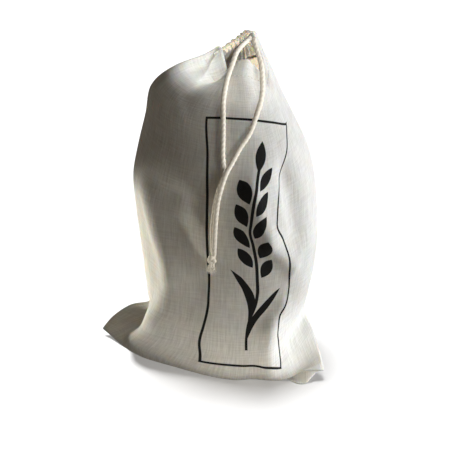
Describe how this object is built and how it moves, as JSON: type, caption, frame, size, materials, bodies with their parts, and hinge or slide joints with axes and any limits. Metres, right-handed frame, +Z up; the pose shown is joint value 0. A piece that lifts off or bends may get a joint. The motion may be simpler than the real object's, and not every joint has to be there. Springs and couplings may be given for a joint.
{
  "type": "bread bag",
  "caption": "Standing drawstring bag of plain cotton cloth for bread, its neck gathered by a knotted cord, with pointed base corners and an open mouth.",
  "frame": {"origin": "on the ground under the middle of the cloth's box", "axes": "+Z up towards the mouth, -Y towards the front panel, +X towards the right seam"},
  "size_m": [0.231, 0.1713, 0.3383],
  "materials": {
    "cotton_cloth": "plain woven natural cotton with fine slubs",
    "cotton_cord": "soft twisted cotton cord"
  },
  "bodies": {
    "root": {"front_panel": "cotton_cloth", "back_panel": "cotton_cloth", "cord_left": "cotton_cord", "cord_right": "cotton_cord", "cord_knot": "cotton_cord"}
  },
  "joints": []
}
